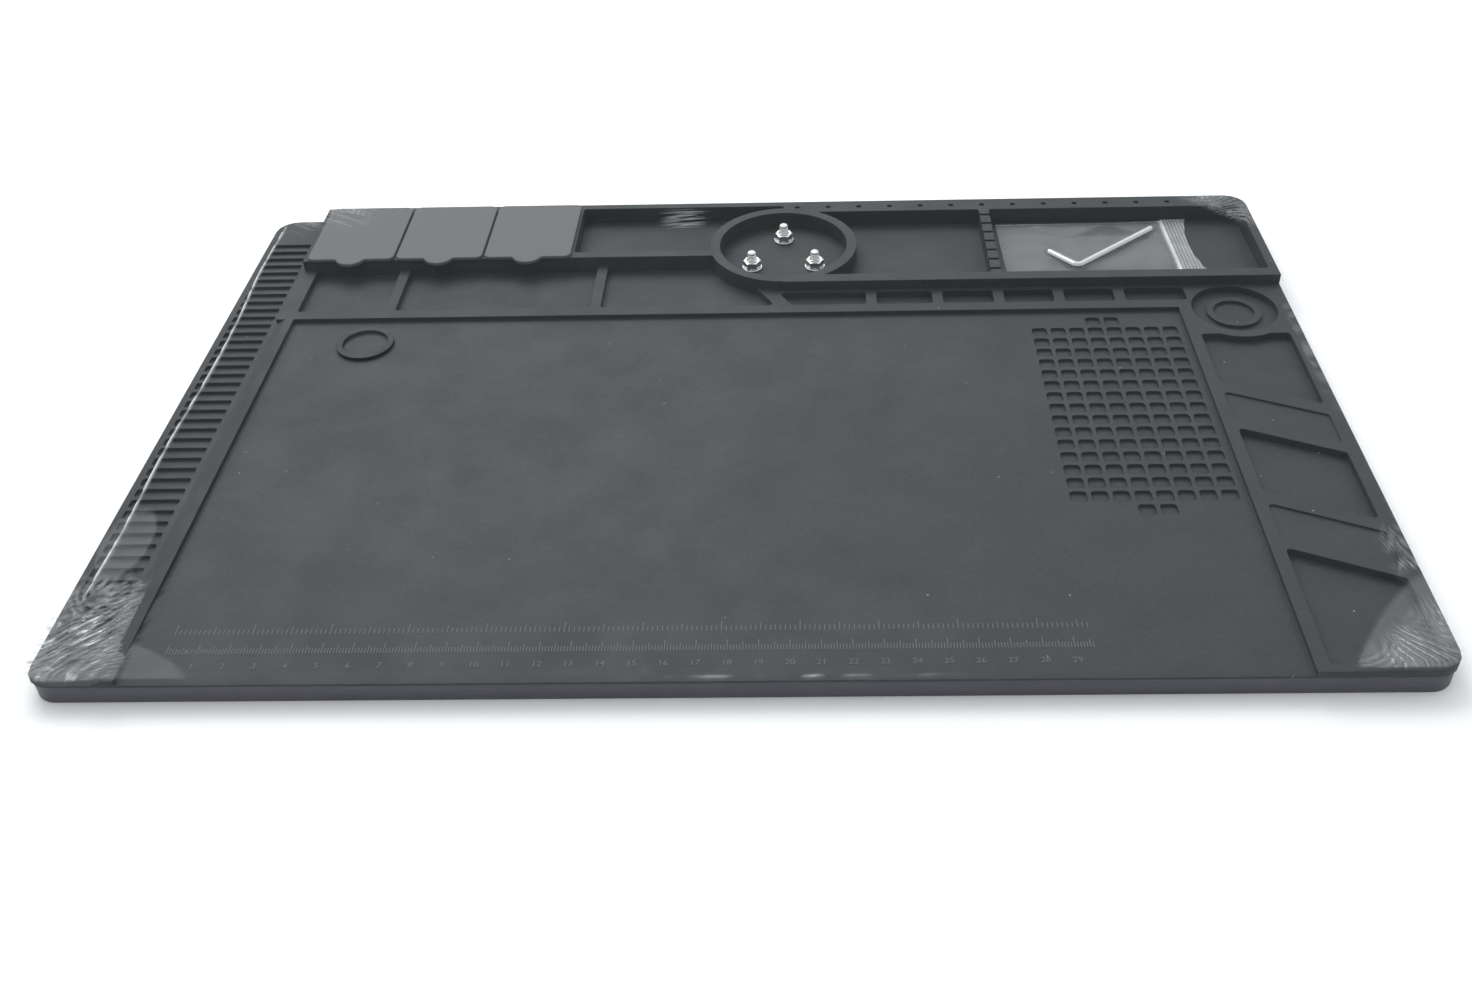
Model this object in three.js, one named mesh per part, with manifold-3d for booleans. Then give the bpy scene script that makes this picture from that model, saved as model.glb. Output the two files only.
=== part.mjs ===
// A grey silicone repair mat on a shallow metal base plate: a flat work area,
// a round well with three studs for a stand, parts trays, three lidded boxes,
// a tool comb on the left, a grid of screw pockets, and a bagged hex key.
// Millimetres, +Z up. The origin is at the middle of the footprint, on the underside.
import * as THREE from 'three';
import * as BufferGeometryUtils from 'three/addons/utils/BufferGeometryUtils.js';
import Module from 'manifold-3d';

const wasm = await Module();
wasm.setup();

// Overall outline
const matWidth = 450;
const matDepth = 300;
const matCornerRadius = 9;

// Heights above the underside
const plateFloor = 3;          // base plate under the mat
const plateRimTop = 7.4;       // upturned edge of the base plate
const plateRimWidth = 0.8;
const plateInset = 0.6;        // the mat's lip stands this far past the plate
const fitGap = 0.3;            // running clearance of every loose fit
const lipThickness = 0.8;      // silicone that lies over the plate's edge
const lowWallHeight = 2;       // walls of the shallow trays, over the work area
const tallWallHeight = 6.5;    // walls of the deep trays, over the work area
const trayRecess = 1;          // floors of the trays and the well, below the work area
const pocketDepth = 1.2;
const workTop = plateRimTop + lipThickness;
const lowTop = workTop + lowWallHeight;
const tallTop = workTop + tallWallHeight;
const trayFloor = workTop - trayRecess;
const foot = workTop - trayRecess / 2;  // where the raised walls start, inside the slab

// Wall widths
const thinWall = 4.5;          // between neighbouring trays
const rowWall = 5.8;           // between the work area and the second row
const outerWall = 3.8;         // round the outside
const backWall = 9.8;          // broad wall behind the deep trays on the right
const deepFrontWall = 5.8;     // in front of the deep trays on the right
const trayCornerRadius = 1.5;

// Deep trays along the back
const deepTrayDepth = 56.2;    // right of the well
const leftTrayDepth = 40.2;    // left of the well
const bagTrayWidth = 114;      // the tray at the back right
const gateCount = 7;           // gaps in the wall between the middle and right trays
const gatePitch = 8;
const gateWidth = 1.7;
const gateDepth = 3;
const gateFromFront = 3.1;     // deep trays' front wall to the first gap's middle
const dentCount = 14;          // small oval dents in the broad back wall
const dentPitch = 14.2;
const dentRadius = 1.3;
const dentDepth = 0.9;
const dentFromWell = -7.9;     // well's middle to the first dent
const dentFromBack = 5.3;

// Second row of shallow trays, in front of the deep ones
const rowDividers = [37.5, 83.5];  // widths of the two trays on the left
const smallTrayDepth = 9.9;
const smallTrayWidths = [37.2, 23.7, 21.4, 21, 21.1, 25.5];
const smallTrayLedge = 1.7;    // strip between the small trays and the deep ones' wall
const slantWall = 7.2;         // slanted wall beside the first small tray, along X
const slantRun = 0.56;         // how far that wall leans along X for each unit along Y

// Tool comb on the left
const combWidth = 24.4;        // outer edge to the comb's wall
const combWall = 5.9;
const combFlare = 1.7;         // the wall's sloped side reaches this far over the comb
const combWallTop = 3.5;
const combPitch = 6.19;
const combCount = 44;
const combSlotWidth = 4.3;
const combSlotCorner = 0.8;
const combSlotDepth = 1.3;
const combSlotLength = 18;
const combRail = 2.6;          // rail left outside the slots
const combFront = 10;          // front edge of the mat to the first slot's middle

// Round well for the stand
const wellCentreX = 13;
const wellBore = 28.3;
const wellWall = 4.4;
const wellClearBack = 6;       // back edge of the mat to the well's wall
const studCircle = 16.1;
const studAngles = [90, 210, 330];

// Lidded boxes at the back left
const boxNames = ['left', 'middle', 'right'];
const lidPitch = 39.4;
const lidGap = 1;
const lidThickness = 1.5;
const lidCornerRadius = 3;
const lidFrontOverhang = 1;    // past the boxes' front wall
const lidBackInset = 2;
const lidSideInset = 1.8;
const lidTabWidth = 12.4;
const lidTabDepth = 4.6;
const boxRim = 3;              // ledge of the boxes that carries each lid

// Right column of slanted trays
const columnWidth = 36;        // right column's trays, without their walls
const columnWall = 4.8;
const columnOuterWall = 5.3;
const columnFrontWall = 3;
const columnSlant = 16.1;      // how far each slanted edge drops across the column
const frontTrayDepth = 55;
const middleTrayDepth = 37.6;
const shelfDepth = 23.6;       // flat shelf behind each of those trays, with its rim
const shelfRim = 5;
const shelfWall = 6.6;
const shelfDrop = 0.8;         // shelves, below the wall tops
const dishRadius = 17.6;
const dishWall = 4.2;
const dishRingOuter = 11.2;
const dishRingInner = 8.4;
const dishRingHeight = 1.4;    // over the dish's floor
const dishInRow = 1.5;         // dish's middle, in front of the second row
const dishTrayReach = 19.3;    // dish's middle to the back corners of the tray before it

// Screw pockets
const pocketPitch = 7.67;
const pocketSize = 6.1;
const pocketCorner = 1.3;
const pocketColumns = 8;
const pocketRows = 15;
const pocketRight = 3;         // last column to the column's wall
const pocketBack = 11.9;       // first row to the second row's wall

// Small raised ring on the work area
const spotOuter = 11.7;
const spotInner = 9.3;
const spotHeight = 1.5;
const spotFromWall = 34.7;
const spotFromRow = 18;

// Hardware
const studDiameter = 4;
const studAboveFloor = 8.3;
const nutAcrossFlats = 7;
const nutHeight = 3.2;
const washerDiameter = 9;
const washerThickness = 0.8;
const keyAcrossFlats = 2.5;
const keyLongArm = 50;
const keyShortArm = 17;
const keyBend = 3;
const keySteps = 40;           // sections along the key
const keyTurn = 39.5;          // degrees, long arm from +X
const keyFromBagLeft = 31;     // bag's left edge to the key's bend
const keyFromBagFront = 4.4;
const bagFilm = 0.4;
const bagSeam = 2;             // closed edges of the bag
const bagTurn = 1;             // degrees
const bagFromTrayLeft = 4;
const bagFromTrayRight = 23;
const bagFromTrayFront = 7.6;
const bagFromTrayBack = 2.6;

// Derived places, measured from the middle of the footprint
const keyRadius = keyAcrossFlats / Math.sqrt(3);
const nutRadius = nutAcrossFlats / Math.sqrt(3);
const studHoleRadius = studDiameter / 2 + fitGap;
const lidTabRadius = (lidTabWidth ** 2 / 4 + lidTabDepth ** 2) / (2 * lidTabDepth);
const left = -matWidth / 2;
const right = matWidth / 2;
const front = -matDepth / 2;
const back = matDepth / 2;
const combInner = left + combWidth;
const workLeft = combInner + combWall;
const deepInner = back - backWall - deepTrayDepth;
const smallBack = deepInner - deepFrontWall - smallTrayLedge;
const rowInner = smallBack - smallTrayDepth;
const rowFront = rowInner - rowWall;
const leftTrayFront = back - outerWall - leftTrayDepth;
const rowBack = leftTrayFront - thinWall;
const columnRight = right - columnOuterWall;
const columnLeft = columnRight - columnWidth;
const workRight = columnLeft - columnWall;
const dishX = (columnLeft + columnRight) / 2;
const dishY = rowFront - dishInRow;
const wellOuter = wellBore + wellWall;
const wellCentreY = back - wellClearBack - wellOuter;
const bagTrayLeft = right - outerWall - bagTrayWidth;
const bagWidth = bagTrayWidth - bagFromTrayLeft - bagFromTrayRight;
const bagDepth = deepTrayDepth - bagFromTrayFront - bagFromTrayBack;
const past = 2;                // how far a cutter runs past what it cuts

// Segments of round edges: each number gives twice as many for a whole arc
const arcSteps = 2;            // a rounded corner
const pocketArcSteps = 1;      // the pockets' and slots' small corners
const circleSteps = 24;        // the well, the dish and the rings
const boltSteps = 8;
const dentSteps = 4;
const hexSteps = 3;            // a hexagon

// A mesh with only positions, its shared corners merged
function bare(geometry) {
  geometry.deleteAttribute('normal');
  geometry.deleteAttribute('uv');
  return BufferGeometryUtils.mergeVertices(geometry, 1e-4);
}

function toSolid(geometry) {
  const merged = bare(geometry);
  return new wasm.Manifold(new wasm.Mesh({
    numProp: 3,
    vertProperties: new Float32Array(merged.attributes.position.array),
    triVerts: new Uint32Array(merged.index.array),
  }));
}

function toGeometry(solid) {
  const mesh = solid.getMesh();
  const geometry = new THREE.BufferGeometry();
  const corners = new THREE.BufferAttribute(new Float32Array(mesh.vertProperties), 3);
  geometry.setAttribute('position', corners);
  geometry.setIndex(new THREE.BufferAttribute(new Uint32Array(mesh.triVerts), 1));
  geometry.computeVertexNormals();
  return geometry;
}

// A polygon with its corners rounded, from corner points in order against the clock
function rounded(points, radius) {
  const shape = new THREE.Shape();
  const corners = points.map(([x, y]) => new THREE.Vector2(x, y));
  corners.forEach((corner, i) => {
    const before = corners[(i + corners.length - 1) % corners.length].clone().sub(corner);
    const after = corners[(i + 1) % corners.length].clone().sub(corner);
    const halfAngle = Math.acos(before.dot(after) / (before.length() * after.length())) / 2;
    const reach = radius / Math.tan(halfAngle);
    const middle = corner.clone().add(before.clone().normalize().add(after.clone().normalize())
      .setLength(radius / Math.sin(halfAngle)));
    const start = corner.clone().add(before.setLength(reach)).sub(middle);
    const end = corner.clone().add(after.setLength(reach)).sub(middle);
    if (i === 0) shape.moveTo(middle.x + start.x, middle.y + start.y);
    else shape.lineTo(middle.x + start.x, middle.y + start.y);
    shape.absarc(middle.x, middle.y, radius, start.angle(), end.angle(), false);
  });
  return shape;
}

function roundedRect(x0, y0, x1, y1, radius) {
  return rounded([[x0, y0], [x1, y0], [x1, y1], [x0, y1]], radius);
}

function polygon(points) {
  return new THREE.Shape(points.map(([x, y]) => new THREE.Vector2(x, y)));
}

function disc(x, y, radius) {
  const shape = new THREE.Shape();
  shape.absarc(x, y, radius, 0, Math.PI * 2, false);
  return shape;
}

// A flat shape raised from z0 to z1
function raise(shape, z0, z1, steps = arcSteps) {
  const settings = { depth: z1 - z0, bevelEnabled: false, curveSegments: steps };
  const geometry = new THREE.ExtrudeGeometry(shape, settings);
  geometry.translate(0, 0, z0);
  return toSolid(geometry);
}

// A section of X and Z points, carried along Y from y0 to y1
function ridge(section, y0, y1) {
  const geometry = new THREE.ExtrudeGeometry(polygon(section), { depth: y1 - y0, bevelEnabled: false });
  geometry.rotateX(Math.PI / 2);
  geometry.translate(0, y1, 0);
  return toSolid(geometry);
}

function block(x0, y0, x1, y1, z0, z1) {
  return raise(polygon([[x0, y0], [x1, y0], [x1, y1], [x0, y1]]), z0, z1);
}

function tray(x0, y0, x1, y1, floor, top) {
  return raise(roundedRect(x0, y0, x1, y1, trayCornerRadius), floor, top + past);
}

function drum(x, y, radius, z0, z1, steps = circleSteps) {
  return raise(disc(x, y, radius), z0, z1, steps);
}

// Base plate: a flat tray with an upturned edge
function makeBasePlate() {
  const x = right - plateInset;
  const y = back - plateInset;
  const radius = matCornerRadius - plateInset;
  const wall = plateRimWidth;
  const outside = raise(roundedRect(-x, -y, x, y, radius), 0, plateRimTop);
  const inside = raise(
    roundedRect(-x + wall, -y + wall, x - wall, y - wall, radius - wall), plateFloor, plateRimTop + past);
  return outside.subtract(inside);
}

// Lower body of the mat: a slab in the plate and a lip over the plate's edge
function makeSlab() {
  const inset = plateInset + plateRimWidth + fitGap;
  const radius = matCornerRadius - inset;
  const slab = raise(
    roundedRect(left + inset, front + inset, right - inset, back - inset, radius), plateFloor, workTop);
  const lip = raise(roundedRect(left, front, right, back, matCornerRadius), plateRimTop, workTop);
  return slab.add(lip);
}

// Raised walls, as full blocks that the trays are then cut from
function addWalls(body) {
  let solid = body;
  const outline = raise(roundedRect(left, front, right, back, matCornerRadius), foot, tallTop + past);
  const slopeFoot = combInner - combFlare;
  const combSide = ridge([[slopeFoot, foot], [workLeft, foot], [workLeft, lowTop],
    [workLeft - combWallTop, lowTop], [slopeFoot, workTop]], front, rowFront);
  const comb = block(slopeFoot, rowFront, workLeft, rowInner, foot, lowTop);
  const row = block(slopeFoot, rowFront, right, back, foot, lowTop);
  const column = block(workRight, front, right, rowInner, foot, lowTop);
  const leftDeep = block(combInner, rowBack, wellCentreX, back, foot, tallTop);
  const rightDeep = block(wellCentreX, smallBack + smallTrayLedge, right, back, foot, tallTop);
  const well = drum(wellCentreX, wellCentreY, wellOuter, foot, tallTop);
  for (const piece of [combSide, comb, row, column, leftDeep, rightDeep, well]) {
    solid = solid.add(piece.intersect(outline));
  }
  return solid;
}

function wellFoot() {
  return drum(wellCentreX, wellCentreY, wellOuter, 0, tallTop + past);
}

// The space of a shallow tray with any corners, down to its floor
function slantedTray(corners, floor = trayFloor) {
  return raise(rounded(corners, trayCornerRadius), floor, lowTop + past);
}

// The small trays end against the right column
function smallTrayStart() {
  const trays = smallTrayWidths.reduce((sum, width) => sum + width, 0);
  return columnLeft - trays - thinWall * (smallTrayWidths.length - 1);
}

function cutSecondRow(body) {
  let solid = body;
  let x = workLeft;
  for (const width of rowDividers) {
    solid = solid.subtract(tray(x, rowInner, x + width, rowBack, trayFloor, tallTop));
    x += width + thinWall;
  }
  // The slanted wall's right face starts at the front of the first small tray
  const slantFoot = smallTrayStart() + smallTrayDepth * slantRun;
  const slantLeft = slantFoot - slantWall;
  const slantBack = slantLeft - (rowBack - rowInner) * slantRun;
  const third = slantedTray([[x, rowInner], [slantLeft, rowInner], [slantBack, rowBack], [x, rowBack]]);
  solid = solid.subtract(third.subtract(wellFoot()));
  x = smallTrayStart();
  smallTrayWidths.forEach((width, i) => {
    const lean = i === 0 ? smallTrayDepth * slantRun : 0;
    const end = x + width;
    const corners = [[x + lean, rowInner], [end, rowInner], [end, smallBack], [x, smallBack]];
    solid = solid.subtract(slantedTray(corners));
    x += width + thinWall;
  });
  return solid;
}

// Left and right inner sides of each lidded box
function boxPlaces() {
  const places = [];
  for (let i = 0; i < boxNames.length; i += 1) {
    const middle = combInner + lidSideInset + lidPitch * (i + 0.5);
    const half = (lidPitch - lidGap) / 2 - boxRim;
    places.push([middle - half, middle + half]);
  }
  return places;
}

function cutDeepTrays(body) {
  let solid = body;
  const boxes = boxPlaces();
  for (const [x0, x1] of boxes) {
    const y1 = back - boxRim - lidBackInset;
    solid = solid.subtract(tray(x0, rowBack + boxRim, x1, y1, trayFloor, tallTop));
  }
  const leftStart = boxes[boxes.length - 1][1] + boxRim + lidGap;
  const leftTray = tray(leftStart, leftTrayFront, wellCentreX, back - outerWall, trayFloor, tallTop);
  const deepBack = back - backWall;
  const middleTray = tray(wellCentreX, deepInner, bagTrayLeft - thinWall, deepBack, trayFloor, tallTop);
  const rightTray = tray(bagTrayLeft, deepInner, right - outerWall, deepBack, trayFloor, tallTop);
  solid = solid.subtract(leftTray.subtract(wellFoot()));
  solid = solid.subtract(middleTray.subtract(wellFoot()));
  solid = solid.subtract(rightTray);
  return solid.subtract(drum(wellCentreX, wellCentreY, wellBore, trayFloor, tallTop + past));
}

// Gaps across the wall between the middle and the right deep tray
function cutGates(body) {
  let solid = body;
  const x0 = bagTrayLeft - thinWall - past;
  const x1 = bagTrayLeft + past;
  for (let i = 0; i < gateCount; i += 1) {
    const y0 = deepInner + gateFromFront + gatePitch * i - gateWidth / 2;
    solid = solid.subtract(block(x0, y0, x1, y0 + gateWidth, tallTop - gateDepth, tallTop + past));
  }
  return solid;
}

function cutDents(body) {
  let solid = body;
  for (let i = 0; i < dentCount; i += 1) {
    const x = wellCentreX + dentFromWell + dentPitch * i;
    const y = back - dentFromBack;
    solid = solid.subtract(drum(x, y, dentRadius, tallTop - dentDepth, tallTop + past, dentSteps));
  }
  return solid;
}

function cutComb(body) {
  let solid = body;
  const x0 = left + combRail;
  const x1 = x0 + combSlotLength;
  for (let i = 0; i < combCount; i += 1) {
    const y0 = front + combFront + combPitch * i - combSlotWidth / 2;
    const slot = roundedRect(x0, y0, x1, y0 + combSlotWidth, combSlotCorner);
    solid = solid.subtract(raise(slot, workTop - combSlotDepth, tallTop + past, pocketArcSteps));
  }
  return solid;
}

function cutPockets(body) {
  let solid = body;
  const x0 = workRight - pocketRight - pocketSize - pocketPitch * (pocketColumns - 1);
  const y0 = rowFront - pocketBack;
  const middle = pocketColumns / 2 - 1;
  for (let row = -1; row <= pocketRows; row += 1) {
    for (let column = 0; column < pocketColumns; column += 1) {
      const extra = row < 0 || row === pocketRows;
      if (extra && (column < middle || column > middle + 1)) continue;
      const x = x0 + pocketPitch * column;
      const y = y0 - pocketPitch * row;
      const pocket = roundedRect(x, y - pocketSize, x + pocketSize, y, pocketCorner);
      solid = solid.subtract(raise(pocket, workTop - pocketDepth, workTop + past, pocketArcSteps));
    }
  }
  return solid;
}

// The dish at the back of the right column, with a ring on its floor
function cutDish(body) {
  const bowl = drum(dishX, dishY, dishRadius, trayFloor, lowTop + past);
  const ring = drum(dishX, dishY, dishRingOuter, trayFloor - fitGap, trayFloor + dishRingHeight);
  return body.subtract(bowl).add(ring)
    .subtract(drum(dishX, dishY, dishRingInner, trayFloor, lowTop + past));
}

// A tray of the right column: its front and back edges are given at its left end, and its
// back edge slants across the column, as its front edge does by frontSlant
function columnTray(frontY, frontSlant, backY, floor = trayFloor) {
  return slantedTray([[columnLeft, frontY], [columnRight, frontY - frontSlant],
    [columnRight, backY - columnSlant], [columnLeft, backY]], floor);
}

function cutColumn(body) {
  const frontTrayY = front + columnFrontWall;
  const firstShelf = frontTrayY + frontTrayDepth;
  const middleTrayY = firstShelf + shelfDepth + shelfWall;
  const secondShelf = middleTrayY + middleTrayDepth;
  const backTrayY = secondShelf + shelfDepth + shelfWall;
  const backTrayEnd = dishY - dishTrayReach;
  const backTray = slantedTray([[columnLeft, backTrayY], [columnRight, backTrayY - columnSlant],
    [columnRight, backTrayEnd], [columnLeft, backTrayEnd]]);
  const dishOutside = drum(dishX, dishY, dishRadius + dishWall, 0, lowTop + past);
  let solid = cutDish(body);
  solid = solid.subtract(backTray.subtract(dishOutside));
  solid = solid.subtract(columnTray(frontTrayY, 0, firstShelf));
  solid = solid.subtract(columnTray(middleTrayY, columnSlant, secondShelf));
  for (const y of [firstShelf, secondShelf]) {
    solid = solid.subtract(columnTray(y + shelfRim, columnSlant, y + shelfDepth, lowTop - shelfDrop));
  }
  return solid;
}

function addSpot(body) {
  const x = workLeft + spotFromWall;
  const y = rowFront - spotFromRow;
  const ring = drum(x, y, spotOuter, workTop - fitGap, workTop + spotHeight);
  return body.add(ring).subtract(drum(x, y, spotInner, workTop, workTop + spotHeight + past));
}

function studPlaces() {
  return studAngles.map((degrees) => {
    const angle = THREE.MathUtils.degToRad(degrees);
    return [wellCentreX + studCircle * Math.cos(angle), wellCentreY + studCircle * Math.sin(angle)];
  });
}

function makeMat() {
  let solid = addWalls(makeSlab());
  solid = cutSecondRow(solid);
  solid = cutDeepTrays(solid);
  solid = cutGates(solid);
  solid = cutDents(solid);
  solid = cutColumn(solid);
  solid = cutComb(solid);
  solid = cutPockets(solid);
  solid = addSpot(solid);
  for (const [x, y] of studPlaces()) {
    solid = solid.subtract(drum(x, y, studHoleRadius, 0, tallTop, boltSteps));
  }
  return solid;
}

// A plate with a tab at its front that is part of a disc
function makeLid(middle) {
  const half = (lidPitch - lidGap) / 2;
  const y0 = rowBack - lidFrontOverhang;
  const y1 = back - lidBackInset;
  const top = tallTop + lidThickness;
  const plate = raise(roundedRect(middle - half, y0, middle + half, y1, lidCornerRadius), tallTop, top);
  return plate.add(drum(middle, y0 - lidTabDepth + lidTabRadius, lidTabRadius, tallTop, top, boltSteps));
}

function makeStud(x, y) {
  return drum(x, y, studDiameter / 2, plateFloor, trayFloor + studAboveFloor, boltSteps);
}

function makeWasher(x, y) {
  const top = trayFloor + washerThickness;
  const hole = drum(x, y, studHoleRadius, trayFloor - past, top + past, boltSteps);
  return drum(x, y, washerDiameter / 2, trayFloor, top, boltSteps).subtract(hole);
}

function makeNut(x, y) {
  const base = trayFloor + washerThickness;
  const hole = drum(x, y, studHoleRadius, base - past, base + nutHeight + past, boltSteps);
  return drum(x, y, nutRadius, base, base + nutHeight, hexSteps).subtract(hole);
}

// A thin bag, open at its right end, that holds the key loosely
function makeBag() {
  const height = bagFilm * 2 + keyRadius * 2 + fitGap * 2;
  const outside = raise(roundedRect(0, 0, bagWidth, bagDepth, bagSeam), 0, height);
  const inside = block(bagSeam, bagSeam, bagWidth + past, bagDepth - bagSeam, bagFilm, height - bagFilm);
  return outside.subtract(inside);
}

// A bent hexagonal bar, its bend at the origin and its long arm along +X
function makeKey() {
  const section = polygon([0, 1, 2, 3, 4, 5].map((i) => {
    const angle = (Math.PI / 3) * i;
    return [keyRadius * Math.cos(angle), keyRadius * Math.sin(angle)];
  }));
  const path = new THREE.CurvePath();
  const start = new THREE.Vector3(0, keyShortArm, 0);
  const bendIn = new THREE.Vector3(0, keyBend, 0);
  const corner = new THREE.Vector3(0, 0, 0);
  const bendOut = new THREE.Vector3(keyBend, 0, 0);
  const end = new THREE.Vector3(keyLongArm, 0, 0);
  path.add(new THREE.LineCurve3(start, bendIn));
  path.add(new THREE.QuadraticBezierCurve3(bendIn, corner, bendOut));
  path.add(new THREE.LineCurve3(bendOut, end));
  const settings = { steps: keySteps, bevelEnabled: false, extrudePath: path };
  return toSolid(new THREE.ExtrudeGeometry(section, settings));
}

const root = new THREE.Group();
const plateColor = 0x4b4c52;
const siliconeColor = 0x55595b;
const steelColor = 0xc9cbc8;
const bagColor = 0xb9bcbd;

function addNode(name, solid, color, roughness, metalness, parent = root) {
  const material = new THREE.MeshStandardMaterial({ color, roughness, metalness });
  const mesh = new THREE.Mesh(toGeometry(solid), material);
  mesh.name = name;
  parent.add(mesh);
  return mesh;
}

addNode('base_plate', makeBasePlate(), plateColor, 0.45, 0.6);
addNode('silicone_mat', makeMat(), siliconeColor, 0.75, 0);
boxPlaces().forEach(([x0, x1], i) => {
  addNode(`box_lid_${boxNames[i]}`, makeLid((x0 + x1) / 2), siliconeColor, 0.75, 0);
});
studPlaces().forEach(([x, y], i) => {
  addNode(`stud_${i + 1}`, makeStud(x, y), steelColor, 0.3, 1);
  addNode(`washer_${i + 1}`, makeWasher(x, y), steelColor, 0.3, 1);
  addNode(`hex_nut_${i + 1}`, makeNut(x, y), steelColor, 0.3, 1);
});

const bagGroup = new THREE.Group();
bagGroup.position.set(bagTrayLeft + bagFromTrayLeft, deepInner + bagFromTrayFront, trayFloor + fitGap);
bagGroup.rotation.z = THREE.MathUtils.degToRad(bagTurn);
root.add(bagGroup);
addNode('zip_bag', makeBag(), bagColor, 0.3, 0, bagGroup);
const key = addNode('hex_key', makeKey(), steelColor, 0.25, 1, bagGroup);
key.position.set(keyFromBagLeft, keyFromBagFront, bagFilm + fitGap + keyRadius);
key.rotation.z = THREE.MathUtils.degToRad(keyTurn);

export default root;
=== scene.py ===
import math

import bmesh
import bpy
import numpy as np
from mathutils import Matrix, Vector


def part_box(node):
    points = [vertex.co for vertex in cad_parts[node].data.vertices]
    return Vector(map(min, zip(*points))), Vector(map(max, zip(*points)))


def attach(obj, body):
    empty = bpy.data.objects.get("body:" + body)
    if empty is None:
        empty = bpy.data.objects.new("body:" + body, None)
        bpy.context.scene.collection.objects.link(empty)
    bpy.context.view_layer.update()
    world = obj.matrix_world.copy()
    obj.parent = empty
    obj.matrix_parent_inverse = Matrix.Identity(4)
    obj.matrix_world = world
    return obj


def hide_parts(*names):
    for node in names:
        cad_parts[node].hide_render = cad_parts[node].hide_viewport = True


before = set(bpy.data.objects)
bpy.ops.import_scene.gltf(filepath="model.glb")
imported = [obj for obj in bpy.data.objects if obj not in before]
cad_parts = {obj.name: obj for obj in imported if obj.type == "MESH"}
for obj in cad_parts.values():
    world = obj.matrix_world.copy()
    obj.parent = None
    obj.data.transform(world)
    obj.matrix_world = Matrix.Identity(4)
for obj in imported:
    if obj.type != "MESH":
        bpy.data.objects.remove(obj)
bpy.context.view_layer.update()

bl_info = {
    "name": "Repair mat dressing",
    "version": (1, 0, 0),
    "blender": (4, 5, 0),
    "location": "3D View > Sidebar > Repair mat",
    "description": "Builds the looks of a silicone repair mat around its fixed frame",
    "category": "Object",
}

MM = 0.001

# Places taken from the frame
MAT_LOW, MAT_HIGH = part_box("silicone_mat")
PLATE_LOW, PLATE_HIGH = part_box("base_plate")
LID_NODES = ["box_lid_left", "box_lid_middle", "box_lid_right"]
STUD_NODES = ["stud_1", "stud_2", "stud_3"]
LIP_THICKNESS = 0.8 * MM
WORK_TOP = PLATE_HIGH.z + LIP_THICKNESS
LOW_TOP = WORK_TOP + 2.0 * MM
TALL_TOP = MAT_HIGH.z
TRAY_FLOOR = WORK_TOP - 1.0 * MM
MAT_CORNER = 9.0 * MM


def outline_points(corners, radii, steps):
    """A closed outline against the clock: each corner is an arc of its radius, tangent to both its sides.
    The arc's middle lies on the corner's bisector at radius / sin(half angle)."""
    corners = np.asarray(corners, float)
    points = []
    for i, corner in enumerate(corners):
        before = corners[i - 1] - corner
        after = corners[(i + 1) % len(corners)] - corner
        before /= np.linalg.norm(before)
        after /= np.linalg.norm(after)
        radius = radii[i]
        half = math.acos(np.clip(before @ after, -1, 1)) / 2
        bisector = before + after
        bisector /= np.linalg.norm(bisector)
        middle = corner + bisector * radius / math.sin(half)
        turn = -1 if before[0] * after[1] - before[1] * after[0] > 0 else 1
        start = corner + before * radius / math.tan(half) - middle
        start_angle = math.atan2(start[1], start[0])
        sweep = turn * (math.pi - 2 * half)
        angles = start_angle + sweep * np.linspace(0, 1, steps)
        points.append(middle + radius * np.stack([np.cos(angles), np.sin(angles)], 1))
    return np.concatenate(points)


def outline_normals(outline):
    """Unit normals that point out of a closed outline drawn against the clock.
    Each is the mean of the normals of the two sides that meet there."""
    ahead = np.roll(outline, -1, 0) - outline
    ahead /= np.linalg.norm(ahead, axis=1, keepdims=True)
    side = np.stack([ahead[:, 1], -ahead[:, 0]], 1)
    both = side + np.roll(side, 1, 0)
    return both / np.linalg.norm(both, axis=1, keepdims=True)


def grid_faces(rows, columns, wrap_rows=False, wrap_columns=False):
    """Four-sided faces of a grid of points in row order, joined end to end where it wraps."""
    r = np.arange(rows if wrap_rows else rows - 1)
    c = np.arange(columns if wrap_columns else columns - 1)
    r, c = (a.ravel() for a in np.meshgrid(r, c, indexing="ij"))
    r2, c2 = (r + 1) % rows, (c + 1) % columns
    return np.stack([r * columns + c, r * columns + c2, r2 * columns + c2, r2 * columns + c], 1)


def new_object(name, points, faces, material, smooth=True):
    """A mesh object at the origin, from an array of points and a list of face index lists."""
    mesh = bpy.data.meshes.new(name)
    rows = np.asarray(points, float).reshape(-1, 3).tolist()
    mesh.from_pydata(rows, [], [list(map(int, face)) for face in faces])
    mesh.validate()
    mesh.polygons.foreach_set("use_smooth", np.full(len(mesh.polygons), smooth))
    mesh.materials.append(material)
    piece = bpy.data.objects.new(name, mesh)
    bpy.context.scene.collection.objects.link(piece)
    return piece


def swept_outline(outline, profile):
    """Rings of an outline, one for each row of the profile: the outline is moved out along its normals by the
    row's first number, at the height of its second."""
    normals = outline_normals(outline)
    profile = np.asarray(profile, float)
    flat = outline[None] + normals[None] * profile[:, 0, None, None]
    height = np.repeat(profile[:, 1, None], len(outline), 1)
    return np.concatenate([flat, height[..., None]], 2)


def capped(name, rings, material, smooth=True):
    """A closed body from stacked rings that run against the clock, with one face over each end."""
    rows, columns = rings.shape[:2]
    faces = grid_faces(rows, columns, wrap_columns=True).tolist()
    faces.append(list(range(columns))[::-1])
    faces.append(list(range((rows - 1) * columns, rows * columns)))
    return new_object(name, rings, faces, material, smooth)


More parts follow.
